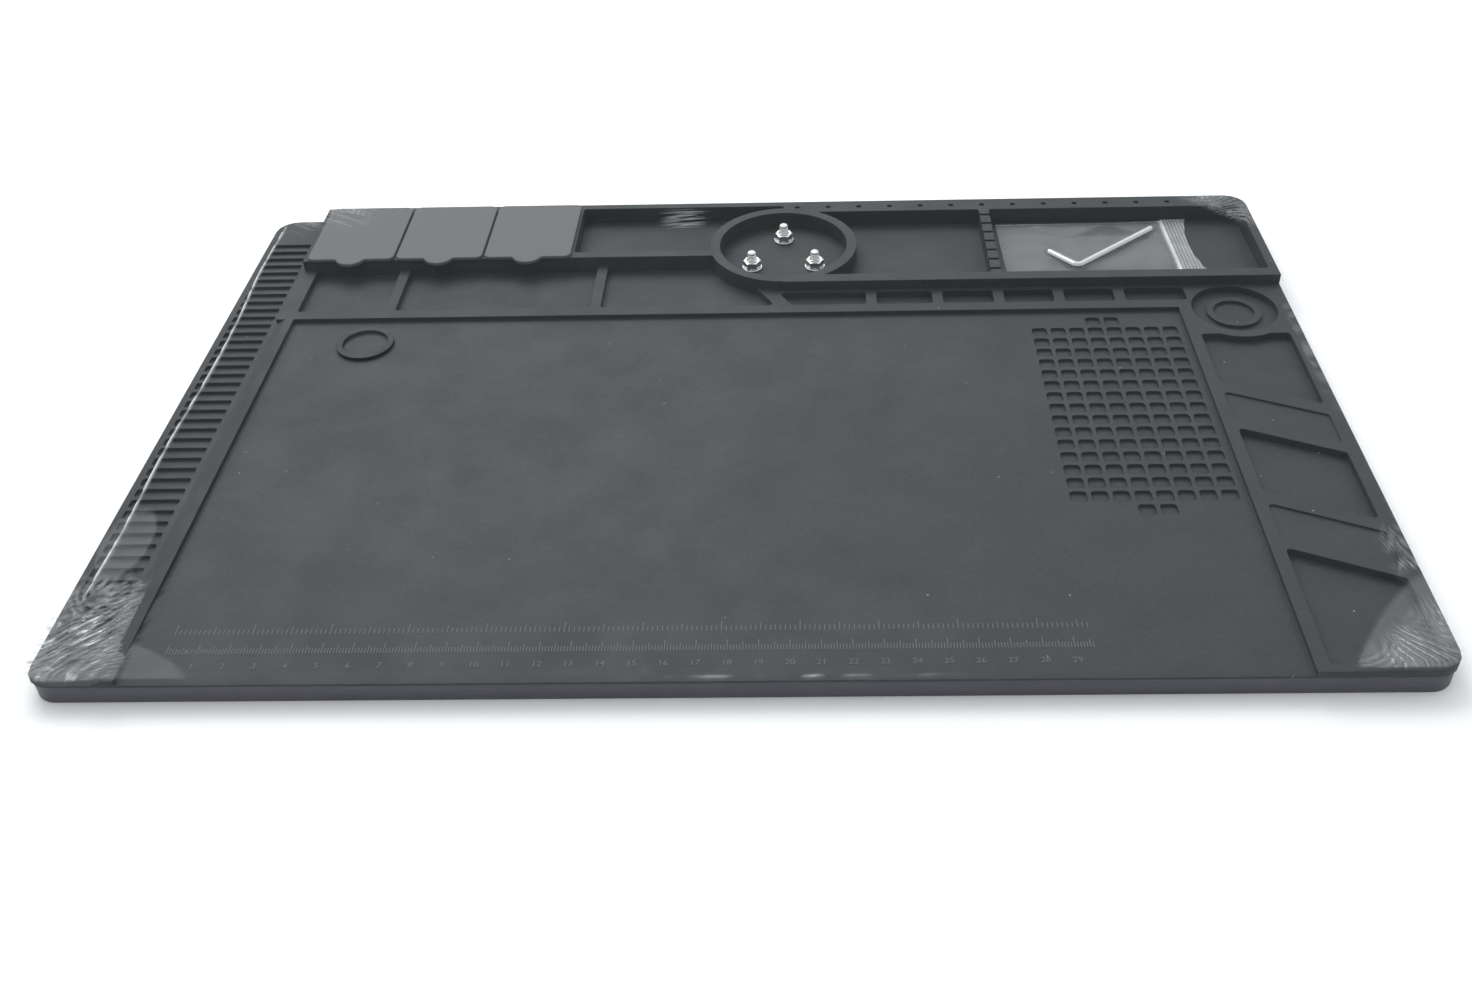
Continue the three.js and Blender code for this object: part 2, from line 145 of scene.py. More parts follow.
def rounded_edge(radius, steps, low):
    """Offsets and heights along a quarter circle: where low, from the flat face out and up into the side, and
    else from the side up and in towards the flat face."""
    angle = np.linspace(0, math.pi / 2, steps)
    if low:
        return np.stack([-radius * (1 - np.sin(angle)), radius * (1 - np.cos(angle))], 1)
    return np.stack([-radius * (1 - np.cos(angle)), -radius * (1 - np.sin(angle))], 1)


def smooth_step(x, low, high):
    """0 below low, 1 above high, and a smooth cubic between them."""
    t = np.clip((x - low) / (high - low), 0, 1)
    return t * t * (3 - 2 * t)


def waves(x, y, seed, count, low, high):
    """A sum of sine waves of random directions and lengths between low and high, scaled to about -1 to 1."""
    random = np.random.default_rng(seed)
    total = np.zeros_like(x)
    for length, angle, phase in zip(random.uniform(low, high, count), random.uniform(0, math.pi, count),
                                    random.uniform(0, 2 * math.pi, count)):
        along = x * math.cos(angle) + y * math.sin(angle)
        total += np.sin(2 * math.pi * along / length + phase)
    return total / math.sqrt(count)


def store(piece, name, values):
    """Keeps one number for each vertex as an attribute that the material reads."""
    attribute = piece.data.attributes.new(name, "FLOAT", "POINT")
    attribute.data.foreach_set("value", np.asarray(values, np.float32).ravel())


class Nodes:
    """Short calls that add and join shader nodes."""

    def __init__(self, name):
        self.material = bpy.data.materials.new(name)
        self.material.use_nodes = True
        self.tree = self.material.node_tree
        self.shader = self.tree.nodes["Principled BSDF"]
        self.output = self.tree.nodes["Material Output"]
        self.place = self.tree.nodes.new("ShaderNodeTexCoord").outputs["Object"]

    def add(self, kind, **settings):
        node = self.tree.nodes.new(kind)
        for key, value in settings.items():
            setattr(node, key, value)
        return node

    def join(self, source, target):
        self.tree.links.new(source, target)

    def noise(self, scale, detail=4.0, roughness=0.55, stretch=None):
        """Noise over the object's own place, with stretch as a scale for each axis."""
        node = self.add("ShaderNodeTexNoise")
        node.inputs["Scale"].default_value = scale
        node.inputs["Detail"].default_value = detail
        node.inputs["Roughness"].default_value = roughness
        place = self.place
        if stretch:
            mapping = self.add("ShaderNodeMapping")
            mapping.inputs["Scale"].default_value = stretch
            self.join(place, mapping.inputs["Vector"])
            place = mapping.outputs["Vector"]
        self.join(place, node.inputs["Vector"])
        return node.outputs["Fac"]

    def attribute(self, name):
        return self.add("ShaderNodeAttribute", attribute_name=name).outputs["Fac"]

    def spread(self, value, low, high, out_low, out_high):
        """Maps a value from one range to another, held at both ends."""
        node = self.add("ShaderNodeMapRange")
        self.join(value, node.inputs["Value"])
        for key, number in (("From Min", low), ("From Max", high), ("To Min", out_low), ("To Max", out_high)):
            node.inputs[key].default_value = number
        return node.outputs["Result"]

    def math(self, operation, a, b=None):
        node = self.add("ShaderNodeMath", operation=operation)
        for socket, value in zip(node.inputs, (a, b)):
            if isinstance(value, (int, float)):
                socket.default_value = value
            elif value is not None:
                self.join(value, socket)
        return node.outputs["Value"]

    def blend(self, factor, first, second):
        """A colour between two colours, which are sockets or tuples."""
        node = self.add("ShaderNodeMix", data_type="RGBA")
        self.join(factor, node.inputs["Factor"])
        for socket, colour in ((node.inputs[6], first), (node.inputs[7], second)):
            if isinstance(colour, tuple):
                socket.default_value = (*colour, 1.0)
            else:
                self.join(colour, socket)
        return node.outputs[2]

    def soft_edge(self, radius):
        """A normal that turns smoothly across sharp edges within a radius."""
        node = self.add("ShaderNodeBevel", samples=6)
        node.inputs["Radius"].default_value = radius
        return node.outputs["Normal"]

    def bump(self, height, strength, distance, normal=None):
        node = self.add("ShaderNodeBump")
        if normal:
            self.join(normal, node.inputs["Normal"])
        node.inputs["Strength"].default_value = strength
        node.inputs["Distance"].default_value = distance
        self.join(height, node.inputs["Height"])
        return node.outputs["Normal"]


def shaded(colour, factor):
    return tuple(min(1.0, channel * factor) for channel in colour)


def silicone_material(colour, edge):
    """Matte moulded silicone: cloudy tone, fine grain, a painted highlight on the soft edges and a few specks
    of lint.
    """
    n = Nodes("silicone")
    cloud = n.spread(n.noise(700, 3, 0.7), 0.35, 0.65, 0, 1)
    grain = n.noise(2600, 2, 0.6)
    tone = n.blend(cloud, shaded(colour, 0.9), shaded(colour, 1.1))
    tone = n.blend(n.spread(grain, 0.35, 0.65, 0, 0.35), tone, shaded(colour, 1.15))
    rounded = n.soft_edge(edge)
    # Painted highlight: the silicone turns paler along its edges, where the softened normal turns away from
    # the true one
    turn = n.add("ShaderNodeVectorMath", operation="DOT_PRODUCT")
    n.join(rounded, turn.inputs[0])
    n.join(n.add("ShaderNodeNewGeometry").outputs["True Normal"], turn.inputs[1])
    edge = n.spread(turn.outputs["Value"], 0.8, 0.99, 0.3, 0)
    tone = n.blend(edge, tone, shaded(colour, 1.55))
    speck = n.add("ShaderNodeTexVoronoi", feature="F1")
    speck.inputs["Scale"].default_value = 90
    n.join(n.place, speck.inputs["Vector"])
    lint = n.spread(speck.outputs["Distance"], 0.02, 0.035, 0.55, 0)
    tone = n.blend(lint, tone, (0.45, 0.47, 0.47))
    n.join(tone, n.shader.inputs["Base Color"])
    n.join(n.spread(n.noise(60, 3), 0.3, 0.7, 0.56, 0.7), n.shader.inputs["Roughness"])
    n.shader.inputs["Specular IOR Level"].default_value = 0.27
    n.join(n.bump(grain, 0.35, 0.00012, rounded), n.shader.inputs["Normal"])
    return n.material


def plate_material(colour):
    """Dark anodised sheet: brushed along its length, with a few fine scuffs."""
    n = Nodes("anodised_plate")
    brushed = n.noise(300, 3, 0.6, (0.03, 0.03, 6.0))
    tone = n.blend(n.spread(brushed, 0.3, 0.7, 0, 1), shaded(colour, 0.85), shaded(colour, 1.15))
    scuff = n.spread(n.noise(45, 6, 0.7), 0.62, 0.75, 0, 0.3)
    tone = n.blend(scuff, tone, shaded(colour, 1.8))
    n.join(tone, n.shader.inputs["Base Color"])
    n.shader.inputs["Metallic"].default_value = 0.35
    n.join(n.spread(n.noise(80, 3), 0.3, 0.7, 0.4, 0.55), n.shader.inputs["Roughness"])
    n.join(n.bump(brushed, 0.2, 0.0001), n.shader.inputs["Normal"])
    return n.material


def steel_material(colour):
    """Bright zinc-plated steel: slight cloudiness and fine marks."""
    n = Nodes("bright_steel")
    cloud = n.noise(500, 4, 0.6)
    tone = n.blend(n.spread(cloud, 0.3, 0.7, 0, 1), shaded(colour, 0.82), shaded(colour, 1.05))
    n.join(tone, n.shader.inputs["Base Color"])
    n.shader.inputs["Metallic"].default_value = 1.0
    n.join(n.spread(n.noise(900, 3), 0.3, 0.7, 0.18, 0.36), n.shader.inputs["Roughness"])
    n.join(n.bump(n.noise(2500, 3), 0.15, 0.00005), n.shader.inputs["Normal"])
    return n.material


def clear_film_material(name, colour, thin, thick):
    """Clear plastic film: it lets light through, and its milkiness attribute makes it milky and glossy; on
    the wrapping film that attribute mostly carries painted highlights, painted glints and painted
    reflections. The milky part grows from thin, where the attribute is 0, to thick, where it is 1."""
    n = Nodes(name)
    # Milkiness: real haze on the bag, and mostly painted highlights and painted reflections on the wrapping
    # film
    veil = n.attribute("veil")
    cloud = n.spread(n.noise(120, 4, 0.6), 0.3, 0.7, 0.85, 1.15)
    alpha = n.math("MULTIPLY", n.spread(veil, 0, 1, thin, thick), cloud)
    tone = n.blend(n.spread(n.noise(300, 3), 0.3, 0.7, 0, 1), shaded(colour, 0.92), colour)
    # Painted shade: the film's colour turns nearly black in the wrinkles' troughs
    n.join(n.blend(n.attribute("painted_trough_shade"), tone, (0.004, 0.005, 0.006)), n.shader.inputs["Base Color"])
    n.join(n.spread(n.noise(200, 3), 0.3, 0.7, 0.12, 0.26), n.shader.inputs["Roughness"])
    n.join(n.bump(n.noise(700, 3), 0.12, 0.0001), n.shader.inputs["Normal"])
    n.join(n.math("MINIMUM", alpha, 1.0), n.shader.inputs["Alpha"])
    return n.material


def floor_material(colour):
    """A plain pale board with a faint grain."""
    n = Nodes("pale_floor")
    n.join(n.blend(n.noise(40, 3), shaded(colour, 0.99), colour), n.shader.inputs["Base Color"])
    n.shader.inputs["Roughness"].default_value = 0.85
    n.shader.inputs["Specular IOR Level"].default_value = 0.1
    return n.material


class MatSettings(bpy.types.PropertyGroup):
    """The moulded mat and its lids."""

    colour: bpy.props.FloatVectorProperty(
        name="Silicone colour", description="Colour of the moulded silicone",
        default=(0.033, 0.038, 0.0415), size=3, subtype="COLOR", min=0, max=1)
    edge: bpy.props.FloatProperty(
        name="Edge softness", description="Radius of the moulded edges' soft shading",
        default=0.45 * MM, unit="LENGTH", min=0)
    lid_edge: bpy.props.FloatProperty(
        name="Lid edge rounding", description="Radius of the lids' edges",
        default=0.45 * MM, unit="LENGTH", min=0)


class PlateSettings(bpy.types.PropertyGroup):
    """The base plate under the mat."""

    colour: bpy.props.FloatVectorProperty(
        name="Plate colour", description="Colour of the anodised plate",
        default=(0.078, 0.077, 0.092), size=3, subtype="COLOR", min=0, max=1)
    edge: bpy.props.FloatProperty(
        name="Edge rounding", description="Radius of the plate's bent edges",
        default=0.5 * MM, unit="LENGTH", min=0)


class RulerSettings(bpy.types.PropertyGroup):
    """The moulded ruler along the front."""

    height: bpy.props.FloatProperty(
        name="Relief", description="How far the marks stand over the mat",
        default=0.12 * MM, unit="LENGTH", min=0)
    mark_width: bpy.props.FloatProperty(
        name="Mark width", description="Width of each tick",
        default=0.28 * MM, unit="LENGTH", min=0)
    digit_height: bpy.props.FloatProperty(
        name="Number height", description="Height of the numbers",
        default=3.4 * MM, unit="LENGTH", min=0)


class HardwareSettings(bpy.types.PropertyGroup):
    """Studs, nuts, washers and the key."""

    colour: bpy.props.FloatVectorProperty(
        name="Steel colour", description="Colour of the bright steel",
        default=(0.78, 0.79, 0.77), size=3, subtype="COLOR", min=0, max=1)
    pitch: bpy.props.FloatProperty(
        name="Thread pitch", description="Distance between the thread's turns",
        default=0.7 * MM, unit="LENGTH", min=0.1 * MM)


class FilmSettings(bpy.types.PropertyGroup):
    """The zip bag and the wrapping film."""

    bag_colour: bpy.props.FloatVectorProperty(
        name="Bag colour", description="Colour of the bag's milky parts",
        default=(0.62, 0.65, 0.67), size=3, subtype="COLOR", min=0, max=1)
    wrap_colour: bpy.props.FloatVectorProperty(
        name="Wrap colour", description="Colour of the film's milky parts",
        default=(0.85, 0.88, 0.89), size=3, subtype="COLOR", min=0, max=1)
    clearance: bpy.props.FloatProperty(
        name="Film clearance", description="Gap between the film and the mat",
        default=0.25 * MM, unit="LENGTH", min=0)


class StageSettings(bpy.types.PropertyGroup):
    """Floor, lights and camera."""

    floor_colour: bpy.props.FloatVectorProperty(
        name="Floor colour", description="Colour of the floor",
        default=(0.94, 0.95, 0.955), size=3, subtype="COLOR", min=0, max=1)
    key_power: bpy.props.FloatProperty(
        name="Key light", description="Power of the large soft light",
        default=9.0, unit="POWER", min=0)
    sky: bpy.props.FloatProperty(
        name="Surroundings", description="Strength of the white surroundings",
        default=1.2, min=0)


class REPAIRMAT_OT_mat(bpy.types.Operator):
    """Dress the moulded mat: a merged copy of the frame's solid, whose edges are softened in its material"""

    bl_idname = "repairmat.mat"
    bl_label = "Moulded mat"

    # Points nearer than this are one point
    merge_distance = 0.002 * MM
    sharp_angle = math.radians(25)
    # Faces are shaded flat where the upright part of their normal is at least this
    level = 0.98

    def execute(self, context):
        settings = context.scene.repairmat_mat
        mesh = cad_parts["silicone_mat"].data.copy()
        work = bmesh.new()
        work.from_mesh(mesh)
        bmesh.ops.remove_doubles(work, verts=work.verts, dist=self.merge_distance)
        work.to_mesh(mesh)
        work.free()
        if mesh.has_custom_normals:
            mesh.attributes.remove(mesh.attributes["custom_normal"])
        mesh.materials.clear()
        mesh.materials.append(silicone_material(tuple(settings.colour), settings.edge))
        normals = np.empty(len(mesh.polygons) * 3)
        mesh.polygons.foreach_get("normal", normals)
        mesh.polygons.foreach_set("use_smooth", np.abs(normals[2::3]) < self.level)
        mesh.set_sharp_from_angle(angle=self.sharp_angle)
        mat = bpy.data.objects.new("moulded_mat", mesh)
        context.scene.collection.objects.link(mat)
        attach(mat, "root")
        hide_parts("silicone_mat")
        return {"FINISHED"}


class REPAIRMAT_OT_ruler(bpy.types.Operator):
    """Mould the ruler's ticks and numbers along the front of the work area"""

    bl_idname = "repairmat.ruler"
    bl_label = "Ruler"

    first_x = -183.0 * MM
    length_mm = 296
    mm_row = -136.4 * MM
    inch_row = -127.6 * MM
    sixteenth = 25.4 / 16 * MM
    tick = 2.4 * MM
    longer = 1.1 * MM
    digit_row = -143.0 * MM
    sunk = 0.05 * MM
    foot_share = 1.5

    def ticks(self, places, base, lengths, settings):
        """One low bar for each tick, wider at its foot: four lower corners, then four upper ones."""
        half = settings.mark_width / 2
        foot = half * self.foot_share
        low, high = WORK_TOP - self.sunk, WORK_TOP + settings.height
        corner_x = np.array([-foot, foot, foot, -foot, -half, half, half, -half])
        corner_z = np.array([low] * 4 + [high] * 4)
        back = base + lengths
        back_top = back - (foot - half)
        front, front_top = np.full_like(back, base - (foot - half)), np.full_like(back, base)
        x = places[:, None] + corner_x[None]
        y = np.stack([front, front, back, back, front_top, front_top, back_top, back_top], 1)
        points = np.stack([x, y, np.broadcast_to(corner_z, x.shape)], 2)
        box = np.array([[3, 2, 1, 0], [4, 5, 6, 7], [0, 1, 5, 4], [1, 2, 6, 5], [2, 3, 7, 6], [3, 0, 4, 7]])
        faces = (box[None] + 8 * np.arange(len(places))[:, None, None]).reshape(-1, 4)
        return points.reshape(-1, 3), faces

    def digit_points(self, text, x, settings):
        """The outline of one number as a raised mesh, centred on x."""
        curve = bpy.data.curves.new("number", "FONT")
        curve.body = text
        curve.size = settings.digit_height
        curve.extrude = settings.height
        curve.align_x = "CENTER"
        curve.resolution_u = 3
        holder = bpy.data.objects.new("number", curve)
        bpy.context.scene.collection.objects.link(holder)
        bpy.context.view_layer.update()
        mesh = holder.to_mesh()
        points = np.empty(len(mesh.vertices) * 3)
        mesh.vertices.foreach_get("co", points)
        faces = [list(polygon.vertices) for polygon in mesh.polygons]
        holder.to_mesh_clear()
        bpy.data.objects.remove(holder)
        bpy.data.curves.remove(curve)
        points = points.reshape(-1, 3) + [x, self.digit_row, WORK_TOP]
        return points, faces

    def execute(self, context):
        settings = context.scene.repairmat_ruler
        steps = np.arange(self.length_mm + 1)
        longer = np.where(steps % 10 == 0, 2, np.where(steps % 5 == 0, 1, 0)) * self.longer
        points, faces = self.ticks(self.first_x + steps * MM, self.mm_row, self.tick + longer, settings)
        inches = np.arange(int(self.length_mm * MM / self.sixteenth) + 1)
        longer = np.where(inches % 16 == 0, 2, np.where(inches % 8 == 0, 1, 0)) * self.longer
        more, more_faces = self.ticks(self.first_x + inches * self.sixteenth, self.inch_row,
                                      self.tick + longer, settings)
        all_points = [points, more]
        all_faces = faces.tolist() + (more_faces + len(points)).tolist()
        count = len(points) + len(more)
        for number in range(1, self.length_mm // 10 + 1):
            digit, digit_faces = self.digit_points(str(number), self.first_x + number * 10 * MM, settings)
            all_points.append(digit)
            all_faces += [[i + count for i in face] for face in digit_faces]
            count += len(digit)
        ruler = new_object("ruler_marks", np.concatenate(all_points), all_faces,
                           bpy.data.materials["silicone"], smooth=False)
        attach(ruler, "root")
        return {"FINISHED"}


class REPAIRMAT_OT_plate(bpy.types.Operator):
    """Dress the base plate: a bent edge with rounded corners round a flat floor"""

    bl_idname = "repairmat.plate"
    bl_label = "Base plate"

    corner_inset = 0.6 * MM
    corner_steps = 14
    rim = 0.8 * MM
    floor = 3.0 * MM
    rim_edge = 0.15 * MM
    rim_ease = 0.1 * MM

    def execute(self, context):
        settings = context.scene.repairmat_plate
        low, high = PLATE_LOW, PLATE_HIGH
        outline = outline_points([(low.x, low.y), (high.x, low.y), (high.x, high.y), (low.x, high.y)],
                                 [MAT_CORNER - self.corner_inset] * 4, self.corner_steps)
        profile = [*(rounded_edge(settings.edge, 6, True)),
                   *(rounded_edge(self.rim_edge, 3, False) + [0, high.z]),
                   (-self.rim + self.rim_ease, high.z), (-self.rim, high.z - self.rim_ease),
                   (-self.rim, self.floor)]
        plate = capped("base_plate_dressed", swept_outline(outline, profile),
                       plate_material(tuple(settings.colour)))
        shade = plate.modifiers.new("flat faces", "WEIGHTED_NORMAL")
        shade.weight = 100
        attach(plate, "root")
        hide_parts("base_plate")
        return {"FINISHED"}


class REPAIRMAT_OT_lids(bpy.types.Operator):
    """Make the three box lids: thin plates with rounded edges and a half-round tab"""

    bl_idname = "repairmat.lids"
    bl_label = "Box lids"

    tab_depth = 4.6 * MM
    tab_radius = 6.48 * MM
    neck = 1.6 * MM
    corner = 3.0 * MM
    arc_steps, tab_steps = 9, 25

    def lid_outline(self, low, high):
        """Against the clock: a front side with a disc for its tab, joined by neck arcs that touch both, and
        three plain sides with round corners. Each neck's middle is the two radii together away from the
        disc's middle."""
        middle = (low.x + high.x) / 2
        line = low.y + self.tab_depth
        disc_y = low.y + self.tab_radius
        reach = self.tab_radius + self.neck
        drop = disc_y - (line - self.neck)
        side = math.sqrt(reach ** 2 - drop ** 2)
        tilt = math.atan2(drop, side)

        def arc(x, y, radius, first, last, steps=self.arc_steps):
            angle = np.linspace(first, last, steps)
            return np.stack([x + radius * np.cos(angle), y + radius * np.sin(angle)], 1)

        quarter = math.pi / 2
        c = self.corner
        return np.concatenate([
            arc(low.x + c, line + c, c, 2 * quarter, 3 * quarter),
            arc(middle - side, line - self.neck, self.neck, quarter, tilt),
            arc(middle, disc_y, self.tab_radius, math.pi + tilt, 2 * math.pi - tilt, self.tab_steps)[1:-1],
            arc(middle + side, line - self.neck, self.neck, math.pi - tilt, quarter),
            arc(high.x - c, line + c, c, -quarter, 0),
            arc(high.x - c, high.y - c, c, 0, quarter),
            arc(low.x + c, high.y - c, c, quarter, 2 * quarter)])

    def execute(self, context):
        edge = context.scene.repairmat_mat.lid_edge
        for name in LID_NODES:
            low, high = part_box(name)
            profile = [*(rounded_edge(edge / 2, 3, True) + [0, low.z]),
                       *(rounded_edge(edge, 5, False) + [0, high.z])]
            lid = capped(f"{name}_dressed", swept_outline(self.lid_outline(low, high), profile),
                         bpy.data.materials["silicone"])
            shade = lid.modifiers.new("flat faces", "WEIGHTED_NORMAL")
            shade.weight = 100
            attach(lid, "root")
            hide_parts(name)
        return {"FINISHED"}


class REPAIRMAT_OT_hardware(bpy.types.Operator):
    """Make the three threaded studs with their nuts and washers"""

    bl_idname = "repairmat.hardware"
    bl_label = "Studs, nuts and washers"

    turn_steps = 48
    hexagon_steps = 96
    bore = 2.1 * MM

    # Thread: rings in each turn of the pitch, its depth, and the part of the dome over which it fades
    pitch_steps = 8
    thread_depth = 0.32 * MM
    thread_fade = 0.3

    # Dome: its height over the radius, its rings, and how far its last ring is round the quarter circle
    dome_share = 0.55
    dome_steps = 9
    dome_reach = 0.86

    # Washer and nut: eased edges, and the nut's cone that cuts its corners
    washer_ease = 0.15 * MM
    bore_ease = 0.3 * MM
    cone_share = 0.94
    cone_slope = math.tan(math.radians(30))

    def place(self, piece, node):
        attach(piece, "root")
        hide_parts(node)

    def stud(self, name, node, pitch, steel):
        """The radius falls from the crest by a tooth wave of the height over the pitch less the turn, and
        closes in a dome."""
        low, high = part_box(node)
        centre = (low + high) / 2
        radius = (high.x - low.x) / 2
        dome = radius * self.dome_share
        heights = np.concatenate([np.arange(low.z, high.z - dome, pitch / self.pitch_steps),
                                  high.z - dome * (1 - np.linspace(0, 1, self.dome_steps))])
        angle = np.linspace(0, 2 * math.pi, self.turn_steps, endpoint=False)
        h, a = np.meshgrid(heights, angle, indexing="ij")
        phase = (h - low.z) / pitch - a / (2 * math.pi)
        tooth = np.abs(2 * (phase - np.floor(phase)) - 1)
        rise = np.clip((h - (high.z - dome)) / dome, 0, 1)
        crown = np.sqrt(1 - (rise * self.dome_reach) ** 2)
        r = (radius - self.thread_depth * tooth * (1 - smooth_step(rise, 0, self.thread_fade))) * crown
        rings = np.stack([centre.x + r * np.cos(a), centre.y + r * np.sin(a), h], 2)
        self.place(capped(name, rings, steel), node)

    def turned(self, name, node, rows, steps, steel):
        """Carries a closed profile round the node's upright axis. Each row is a radius and a height, and
        either may differ from angle to angle."""
        low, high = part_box(node)
        centre = (low + high) / 2
        angle = np.linspace(0, 2 * math.pi, steps, endpoint=False)
        radius, height = (np.stack([np.broadcast_to(row[k], steps) for row in rows]) for k in (0, 1))
        rings = np.stack([centre.x + radius * np.cos(angle), centre.y + radius * np.sin(angle), height], 2)
        faces = grid_faces(len(rows), steps, True, True)[:, ::-1]
        self.place(new_object(name, rings, faces, steel, smooth=False), node)

    def washer(self, name, node, steel):
        """A ring section with eased edges, turned about the stud."""
        low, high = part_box(node)
        outer, bore, ease = (high.x - low.x) / 2, self.bore, self.washer_ease
        rows = [(bore, low.z), (outer - ease, low.z), (outer, low.z + ease), (outer, high.z - ease),
                (outer - ease, high.z), (bore + ease, high.z), (bore, high.z - ease)]
        self.turned(name, node, rows, self.turn_steps, steel)

    def nut(self, name, node, steel):
        """The side's radius at each angle is the hexagon's, and its height there is cut by a cone at
        both ends, so the corners are chamfered."""
        low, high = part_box(node)
        flats = (high.y - low.y) / 2
        angle = np.linspace(0, 2 * math.pi, self.hexagon_steps, endpoint=False)
        hexagon = flats / np.cos((angle % (math.pi / 3)) - math.pi / 6)
        cone, bore, ease = flats * self.cone_share, self.bore, self.bore_ease
        drop = (hexagon - cone) * self.cone_slope
        rows = [(bore, low.z), (cone, low.z), (hexagon, low.z + drop), (hexagon, high.z - drop),
                (cone, high.z), (bore + ease, high.z), (bore, high.z - ease)]
        self.turned(name, node, rows, self.hexagon_steps, steel)

    def execute(self, context):
        settings = context.scene.repairmat_hardware
        steel = steel_material(tuple(settings.colour))
        for i, node in enumerate(STUD_NODES, 1):
            self.stud(f"threaded_stud_{i}", node, settings.pitch, steel)
            self.washer(f"flat_washer_{i}", f"washer_{i}", steel)
            self.nut(f"chamfered_nut_{i}", f"hex_nut_{i}", steel)
        return {"FINISHED"}


# The bag's own frame, from the part's source
BAG_ORIGIN = Vector((111.2 * MM, 91.6 * MM, TRAY_FLOOR + 0.3 * MM))
BAG_TURN = math.radians(1)
BAG_WIDTH = 87 * MM
BAG_DEPTH = 46 * MM
KEY_BEND_PLACE = np.array([31 * MM, 4.4 * MM])
KEY_TURN = math.radians(39.5)
KEY_LONG = 50 * MM
KEY_SHORT = 17 * MM
KEY_RADIUS = 2.5 / math.sqrt(3) * MM
KEY_HEIGHT = 0.7 * MM + KEY_RADIUS


def bag_place(x, y, z):
    """Points of the bag's own frame, turned and moved into the object's frame."""
    c, s = math.cos(BAG_TURN), math.sin(BAG_TURN)
    return np.stack([BAG_ORIGIN.x + x * c - y * s, BAG_ORIGIN.y + x * s + y * c, BAG_ORIGIN.z + z], -1)


def key_distance(x, y):
    """Distance in the bag's plane from each point to the key's two arms."""
    ends = [KEY_BEND_PLACE + KEY_LONG * np.array([math.cos(KEY_TURN), math.sin(KEY_TURN)]),
            KEY_BEND_PLACE + KEY_SHORT * np.array([-math.sin(KEY_TURN), math.cos(KEY_TURN)])]
    dx, dy = x - KEY_BEND_PLACE[0], y - KEY_BEND_PLACE[1]
    best = np.full(x.shape, np.inf)
    for end in ends:
        arm = end - KEY_BEND_PLACE
        t = np.clip((dx * arm[0] + dy * arm[1]) / (arm @ arm), 0, 1)
        best = np.minimum(best, np.hypot(dx - t * arm[0], dy - t * arm[1]))
    return best


class REPAIRMAT_OT_key(bpy.types.Operator):
    """Make the bent hexagonal key"""

    bl_idname = "repairmat.key"
    bl_label = "Hex key"

    bend_radius = 2.4 * MM
    short_steps, bend_steps, long_steps = 8, 14, 16

    # Half of each eased corner's angle, and the end chamfers' length and share of the section
    corner_ease = 0.12
    end_ease = 0.3 * MM
    end_share = 0.82

    def path(self):
        """Short arm, quarter-circle bend and long arm, as points in the key's own plane."""
        r = self.bend_radius
        angle = np.linspace(0, math.pi / 2, self.bend_steps)
        short = np.stack([np.zeros(self.short_steps),
                          np.linspace(KEY_SHORT, r, self.short_steps, endpoint=False)], 1)
        bend = np.stack([r - r * np.cos(angle), r - r * np.sin(angle)], 1)
        long = np.stack([np.linspace(KEY_LONG, r, self.long_steps, endpoint=False)[::-1],
                         np.zeros(self.long_steps)], 1)
        return np.concatenate([short, bend, long])

    def execute(self, context):
        path = self.path()
        ahead = np.gradient(path, axis=0)
        ahead /= np.linalg.norm(ahead, axis=1, keepdims=True)
        side = np.stack([-ahead[:, 1], ahead[:, 0]], 1)
        corner = np.arange(6) * math.pi / 3
        ring = np.stack([corner - self.corner_ease, corner + self.corner_ease], 1).ravel()
        flat = KEY_RADIUS * math.cos(math.pi / 6) / math.cos(math.pi / 6 - self.corner_ease)
        size = np.full(len(path), flat)
        path, ahead, side = (np.concatenate([row[:1], row, row[-1:]]) for row in (path, ahead, side))
        size = np.concatenate([[size[0] * self.end_share], size, [size[-1] * self.end_share]])
        path[1] += ahead[1] * self.end_ease
        path[-2] -= ahead[-2] * self.end_ease
        across = size[:, None] * np.cos(ring)
        up = size[:, None] * np.sin(ring)
        x = path[:, 0, None] + side[:, 0, None] * across
        y = path[:, 1, None] + side[:, 1, None] * across
        c, s = math.cos(KEY_TURN), math.sin(KEY_TURN)
        bag_x = KEY_BEND_PLACE[0] + x * c - y * s
        bag_y = KEY_BEND_PLACE[1] + x * s + y * c
        rings = bag_place(bag_x, bag_y, KEY_HEIGHT + up)
        key = capped("bent_hex_key", rings, bpy.data.materials["bright_steel"], smooth=False)
        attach(key, "root")
        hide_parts("hex_key")
        return {"FINISHED"}


